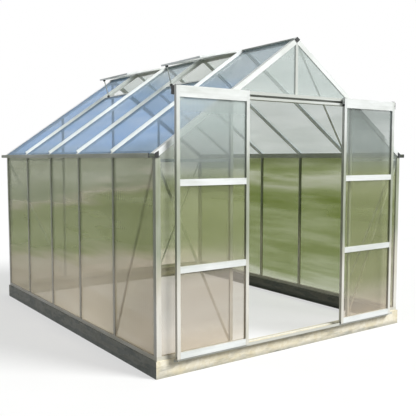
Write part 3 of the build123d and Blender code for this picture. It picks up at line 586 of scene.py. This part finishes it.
class GREENHOUSE_OT_finish_base(bpy.types.Operator):
    """Give the folded base its galvanised steel"""
    bl_idname = "greenhouse.finish_base"
    bl_label = "Finish the base"

    def execute(self, context):
        dress(galvanised_steel("galvanised_steel_hot_dipped_chalky", 0.0), "base_ends")
        # The long sides get painted shade: dark zinc over most of the face.
        dress(galvanised_steel("galvanised_steel_hot_dipped_painted_shade", 0.9), "base_sides")
        return {"FINISHED"}


class GREENHOUSE_OT_finish_plastics(bpy.types.Operator):
    """Give the caps and plugs their black plastic, and the rollers their nylon"""
    bl_idname = "greenhouse.finish_plastics"
    bl_label = "Finish the plastics"

    def execute(self, context):
        dress(black_polypropylene(), "gutter_end_caps", "ridge_end_caps", "track_end_caps", "door_left_plugs",
              "door_right_plugs")
        dress(turned_nylon(), "door_left_rollers", "door_right_rollers")
        return {"FINISHED"}


class GREENHOUSE_OT_glaze(bpy.types.Operator):
    """Give the panes of the walls, doors and roof their twin-wall sheet, with ribs that run up each pane"""
    bl_idname = "greenhouse.glaze"
    bl_label = "Glaze"

    def execute(self, context):
        colours = context.scene.greenhouse_colours
        # The tan low down, the green in the middle and the grey at the tops of the doors are partly painted
        # reflection of the surroundings seen in and through the sheets, set wall by wall for the light each wall
        # gets.
        foot, splash, film = colours.sheet_foot_and_reflection, colours.sheet_splash_and_reflection, colours.sheet_film_and_reflection
        haze, eave, worn = colours.sheet_haze_and_reflection, colours.sheet_eave, colours.sheet_grey_and_reflection
        clean, inner = colours.sheet_clean, colours.sheet_inner
        blue, paler, newer = colours.sheet_roof_sky_reflection, colours.sheet_ridge_sky_reflection, colours.sheet_vent
        # Height over the floor, tint, share of film; tints and shares are partly painted reflection of the
        # surroundings
        front = [(0.14, foot, 0.40), (0.34, splash, 0.38), (0.66, splash, 0.34), (0.94, haze, 0.24),
                 (1.30, haze, 0.24), (1.42, worn, 0.34), (1.78, clean, 0.52), (1.88, clean, 0.98)]
        front_shaded = [(0.14, foot, 0.45), (0.26, splash, 0.40), (0.50, haze, 0.30), (1.30, haze, 0.30),
                        (1.54, worn, 0.50), (1.78, worn, 0.70)]
        gable_top = [(1.90, clean, 0.42), (2.40, clean, 0.70)]
        left = [(0.14, splash, 0.85), (0.30, splash, 0.80), (0.60, splash, 0.72), (0.76, haze, 0.58),
                (1.08, haze, 0.60), (1.15, splash, 0.45), (1.22, eave, 0.60), (1.52, eave, 0.55)]
        right = [(0.10, eave, 0.65), (0.30, film, 0.70), (0.80, film, 0.80), (1.12, film, 0.95),
                 (1.26, eave, 0.80), (1.36, film, 0.80), (1.52, film, 0.80)]
        rear = [(0.14, foot, 0.40), (0.40, film, 0.45), (0.80, film, 0.50), (1.12, film, 0.55),
                (1.26, eave, 0.30), (1.40, eave, 0.45), (1.52, eave, 0.45), (1.70, clean, 0.20)]
        # The roof's blue is a painted reflection of the sky, paler at the ridge.
        roof = [(1.50, blue, 0.70), (2.08, blue, 0.65), (2.30, paler, 0.55)]
        vent = [(1.50, newer, 0.40), (2.40, newer, 0.40)]
        # Sheet, axis across its ribs, levels, what sets it apart, pieces
        sheets = [
            ("front", "X", front, {"ragged_by": 0.05, "glow_share": 0.2}, ("panes_front", "door_left_panes")),
            ("front_shaded", "X", front_shaded, {"ragged_by": 0.05, "glow_share": 0.2}, ("door_right_panes",)),
            ("gable_top", "X", gable_top, {"glow_share": 0.2}, ("panes_gable_top",)),
            ("left", "Y", left, {"ragged_by": 0.12, "glow_share": 0.65, "most_veil": 0.62, "lean": 0.14},
             ("panes_left",)),
            ("right", "Y", right, {"ragged_by": 0.16}, ("panes_right",)),
            ("rear", "X", rear, {"ragged_by": 0.16}, ("panes_rear",)),
            ("roof", "Y", roof, {"inner": inner, "ragged_by": 0.10, "lean": -0.12},
             ("panes_roof_left", "panes_roof_right")),
            ("vent", "Y", vent, {"inner": inner}, ("vent_panes",)),
        ]
        for finish, across, levels, ways, nodes in sheets:
            dress(twin_wall_polycarbonate("polycarbonate_twin_wall_" + finish, across, levels, **ways), *nodes)
        return {"FINISHED"}


class GREENHOUSE_OT_bolt_braces(bpy.types.Operator):
    """Bolt both ends of every tie and brace, with a washer under each head"""
    bl_idname = "greenhouse.bolt_braces"
    bl_label = "Bolt the braces"

    def execute(self, context):
        sizes = context.scene.greenhouse_sizes
        start_piece()
        bpy.ops.mesh.primitive_cylinder_add(
            vertices=20, radius=sizes.washer, depth=sizes.washer_thick, location=(0, 0, sizes.washer_thick / 2))
        bolt = context.active_object
        bpy.ops.object.mode_set(mode="EDIT")
        pick_faces(bolt, lambda middle, normal: normal.z > facing)
        bpy.ops.mesh.bevel(offset=sizes.washer_thick / 3, segments=2, affect="EDGES")
        bpy.ops.mesh.primitive_cylinder_add(
            vertices=6, radius=sizes.bolt_head, depth=sizes.bolt_height,
            location=(0, 0, sizes.washer_thick + sizes.bolt_height / 2))
        head_top = sizes.washer_thick + sizes.bolt_height
        pick_faces(bolt, lambda middle, normal: normal.z > facing and middle.z > head_top - face_slack)
        bpy.ops.mesh.bevel(offset=sizes.bolt_height / 6, segments=2, affect="EDGES")
        pick_faces(bolt, lambda middle, normal: normal.z > facing and middle.z > head_top - face_slack)
        bpy.ops.mesh.inset(thickness=sizes.bolt_head / 4, depth=-sizes.bolt_height / 12)
        bpy.ops.object.mode_set(mode="OBJECT")

        half = sizes.brace_width / 2
        places = []
        for node in ("gable_ties", "gable_braces"):
            for side in (-1, 1):
                for end in (-1, 1):
                    points = corners(node, lambda p: p.x * side > 0 and p.y * end > 0)
                    inside = min(p.y * end for p in points) * end
                    inner, outer = ends([p.x * side for p in points], half)
                    low, top = ends([p.z for p in points], half)
                    for x, z in ((outer, top), (inner, low)):
                        places.append(stand((x * side, inside, z), (0, -end, 0), (1, 0, 0)))
        for side in (-1, 1):
            points = corners("wall_braces", lambda p: p.x * side > 0)
            inside = min(p.x * side for p in points) * side
            first, last = ends([p.y for p in points], half)
            low, top = ends([p.z for p in points], half)
            for y, z in ((first, top), (last, low)):
                places.append(stand((inside, y, z), (-side, 0, 0), (0, 1, 0)))
        into_room = Vector((-math.sin(roof_pitch), 0, -math.cos(roof_pitch)))
        points = corners("roof_brace")
        middle = end_of(points, into_room)
        level = middle.dot(into_room) - point_slack
        tip = max((p for p in points if p.dot(into_room) > level), key=lambda p: (p - middle).length)
        reach = tip - middle
        for way in (-1, 1):
            spot = middle + reach.normalized() * (reach.length - half) * way
            places.append(stand(spot, into_room, reach))
        bolts = copy_to(bolt, places, "brace_bolts")
        fit(bolts, "house", zinc_plated_steel())
        return {"FINISHED"}


class GREENHOUSE_OT_fit_buffers(bpy.types.Operator):
    """Fit a square buffer to the meeting edge of each door, near its top"""
    bl_idname = "greenhouse.fit_buffers"
    bl_label = "Fit the door buffers"

    def execute(self, context):
        sizes = context.scene.greenhouse_sizes
        plastic = bpy.data.materials["polypropylene_black_moulded"]
        near_top = sizes.buffer_thick * 0.99
        near_rim = sizes.buffer * 0.45
        for side, body in ((1, "left_door"), (-1, "right_door")):
            low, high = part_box(f"door_{body.split('_')[0]}_stiles")
            edge = high.x if side > 0 else low.x
            start_piece()
            bpy.ops.mesh.primitive_cube_add(size=1, location=(0, 0, sizes.buffer_thick / 2))
            pad = context.active_object
            bpy.ops.transform.resize(value=(sizes.buffer, sizes.buffer, sizes.buffer_thick))
            bpy.ops.object.transform_apply(location=True, rotation=True, scale=True)
            bpy.ops.object.mode_set(mode="EDIT")
            pick_edges(pad, lambda a, b: abs(a.z - b.z) > sizes.buffer_thick / 2)
            bpy.ops.mesh.bevel(offset=sizes.buffer / 6, segments=3, affect="EDGES")
            pick_faces(pad, lambda middle, normal: normal.z > facing)
            bpy.ops.mesh.inset(thickness=sizes.buffer / 10, depth=0)
            bpy.ops.mesh.inset(thickness=sizes.buffer / 20, depth=-sizes.buffer_thick / 4)
            pick_edges(pad, lambda a, b: min(a.z, b.z) > near_top
                       and max(abs(a.x), abs(a.y), abs(b.x), abs(b.y)) > near_rim)
            bpy.ops.mesh.bevel(offset=sizes.buffer_thick / 6, segments=2, affect="EDGES")
            bpy.ops.object.mode_set(mode="OBJECT")
            spot = (edge, (low.y + high.y) / 2, high.z - sizes.buffer_drop)
            piece = copy_to(pad, [stand(spot, (side, 0, 0), (0, 0, 1))], f"{body}_buffer")
            fit(piece, body, plastic)
        return {"FINISHED"}


class GREENHOUSE_OT_hold_stays(bpy.types.Operator):
    """Hold the foot and the head of each vent stay between two rounded cheeks with a pin"""
    bl_idname = "greenhouse.hold_stays"
    bl_label = "Hold the vent stays"

    def execute(self, context):
        sizes = context.scene.greenhouse_sizes
        inner_face = sizes.stay_width / 2 + sizes.stay_gap
        near_top = sizes.cheek_height * 0.9
        pin_height = sizes.cheek_height * 0.55
        pin_depth = sizes.cheek_thick / 2
        pin_face = inner_face + sizes.cheek_thick + pin_depth
        start_piece()
        bpy.ops.mesh.primitive_cube_add(
            size=1, location=(0, inner_face + sizes.cheek_thick / 2, sizes.cheek_height / 2))
        cheek = context.active_object
        bpy.ops.transform.resize(value=(sizes.cheek, sizes.cheek_thick, sizes.cheek_height))
        bpy.ops.object.transform_apply(location=True, rotation=True, scale=True)
        bpy.ops.object.mode_set(mode="EDIT")
        pick_edges(cheek, lambda a, b: abs(a.y - b.y) > sizes.cheek_thick / 2 and min(a.z, b.z) > near_top)
        bpy.ops.mesh.bevel(offset=sizes.cheek * 0.4, segments=5, affect="EDGES")
        bpy.ops.mesh.primitive_cylinder_add(
            vertices=12, radius=sizes.cheek / 6, depth=pin_depth, rotation=(math.pi / 2, 0, 0),
            location=(0, pin_face - pin_depth / 2, pin_height))
        pick_faces(cheek, lambda middle, normal: normal.y > facing and middle.y > pin_face - face_slack)
        bpy.ops.mesh.bevel(offset=sizes.cheek_thick / 8, segments=2, affect="EDGES")
        bpy.ops.object.mode_set(mode="OBJECT")

        slope_up = Vector((-math.sin(roof_pitch), 0, math.cos(roof_pitch)))
        lid_pitch = roof_pitch - lid_open
        lid_under = Vector((math.sin(lid_pitch), 0, -math.cos(lid_pitch)))
        places = []
        for end in (-1, 1):
            points = corners("vent_stays", lambda p: p.y * end > 0)
            for up in (slope_up, lid_under):
                spot = end_of(points, -up)
                for way in (-1, 1):
                    ahead = up.cross(Vector((0, 1, 0))) * way
                    places.append(stand(spot, up, ahead))
        piece = copy_to(cheek, places, "stay_brackets")
        fit(piece, "house", bpy.data.materials["polypropylene_black_moulded"])
        return {"FINISHED"}


class GREENHOUSE_OT_set_stage(bpy.types.Operator):
    """Set the floor, the soft light and the camera"""
    bl_idname = "greenhouse.set_stage"
    bl_label = "Set the stage"

    def execute(self, context):
        scene = context.scene
        stage = scene.greenhouse_stage
        colours = scene.greenhouse_colours
        sizes = scene.greenhouse_sizes

        start_piece()
        bpy.ops.mesh.primitive_plane_add(size=stage.floor_width, location=(0, 0, 0))
        floor = context.active_object
        floor.name = "floor"
        # Painted studio floor: pale to the eye and in reflections, darker for bounced light, so it throws
        # little light up at the shaded sides. It keeps the shadow.
        material, tree = start_material("studio_floor_painted")
        place = add(tree, "TexCoord").outputs["Object"]
        scuffs = add(tree, "TexNoise", {"Vector": place, "Scale": 1 / sizes.scuff, "Detail": 3.0})
        paint = add(tree, "ValToRGB", {"Fac": scuffs},
                    stops=[(0.3, colours.floor_scuffed), (0.7, colours.floor)])
        dim = add(tree, "BsdfDiffuse", {"Color": (*colours.floor_bounce, 1)})
        pale = add(tree, "BsdfDiffuse", {"Color": paint})
        white = add(tree, "Emission", {"Color": (*colours.floor_lift, 1), "Strength": 1.0})
        lifted = add(tree, "MixShader", {0: stage.floor_lifted, 1: pale, 2: white})
        both = add(tree, "MixShader", {0: background_share(tree), 1: dim, 2: lifted})
        add(tree, "OutputMaterial", {"Surface": both})
        floor.data.materials.append(material)

        world = bpy.data.worlds.new("studio")
        world.use_nodes = True
        tree = world.node_tree
        tree.nodes.clear()
        light = add(tree, "Background", {"Color": (*colours.ambient, 1), "Strength": stage.ambient})
        white = add(tree, "Background", {"Color": (1, 1, 1, 1), "Strength": 1.0})
        both = add(tree, "MixShader", {0: background_share(tree), 1: light, 2: white})
        add(tree, "OutputWorld", {"Surface": both})
        scene.world = world

        aim = Vector((math.sin(stage.key_turn) * math.cos(stage.key_height),
                      -math.cos(stage.key_turn) * math.cos(stage.key_height), math.sin(stage.key_height)))
        start_piece()
        bpy.ops.object.light_add(type="SUN", location=aim * stage.key_away)
        key = context.active_object
        key.name = "key"
        key.rotation_euler = aim.to_track_quat("Z", "Y").to_euler()
        key.data.energy = stage.key
        key.data.angle = stage.key_spread

        start_piece()
        bpy.ops.object.camera_add(location=stage.eye, rotation=(math.pi / 2 - stage.tilt, 0, -stage.turn))
        camera = context.active_object
        camera.data.sensor_width = stage.sensor
        camera.data.lens = stage.lens
        camera.data.clip_end = stage.reach
        scene.camera = camera
        scene.view_settings.view_transform = "Standard"
        scene.cycles.transparent_max_bounces = 40   # many panes stand behind each other
        return {"FINISHED"}


class GREENHOUSE_PT_panel(bpy.types.Panel):
    """Lists the steps that dress the greenhouse"""
    bl_idname = "GREENHOUSE_PT_panel"
    bl_label = "Greenhouse"
    bl_space_type = "VIEW_3D"
    bl_region_type = "UI"
    bl_category = "Greenhouse"

    def draw(self, context):
        for step in steps:
            self.layout.operator(step.bl_idname)
        for name, group in groups.items():
            box = self.layout.box()
            for value in group.__annotations__:
                box.prop(getattr(context.scene, name), value)


groups = {
    "greenhouse_colours": GreenhouseColours,
    "greenhouse_sizes": GreenhouseSizes,
    "greenhouse_stage": GreenhouseStage,
}
steps = [
    GREENHOUSE_OT_finish_bars,
    GREENHOUSE_OT_finish_base,
    GREENHOUSE_OT_finish_plastics,
    GREENHOUSE_OT_glaze,
    GREENHOUSE_OT_bolt_braces,
    GREENHOUSE_OT_fit_buffers,
    GREENHOUSE_OT_hold_stays,
    GREENHOUSE_OT_set_stage,
]


def register():
    for name, group in groups.items():
        bpy.utils.register_class(group)
        setattr(bpy.types.Scene, name, bpy.props.PointerProperty(type=group))
    for step in steps:
        bpy.utils.register_class(step)
    bpy.utils.register_class(GREENHOUSE_PT_panel)


def unregister():
    bpy.utils.unregister_class(GREENHOUSE_PT_panel)
    for step in reversed(steps):
        bpy.utils.unregister_class(step)
    for name, group in reversed(groups.items()):
        delattr(bpy.types.Scene, name)
        bpy.utils.unregister_class(group)


def main():
    register()
    bpy.ops.greenhouse.finish_bars()
    bpy.ops.greenhouse.finish_base()
    bpy.ops.greenhouse.finish_plastics()
    bpy.ops.greenhouse.glaze()
    bpy.ops.greenhouse.bolt_braces()
    bpy.ops.greenhouse.fit_buffers()
    bpy.ops.greenhouse.hold_stays()
    bpy.ops.greenhouse.set_stage()
    start_piece()


if __name__ == "__main__":
    main()
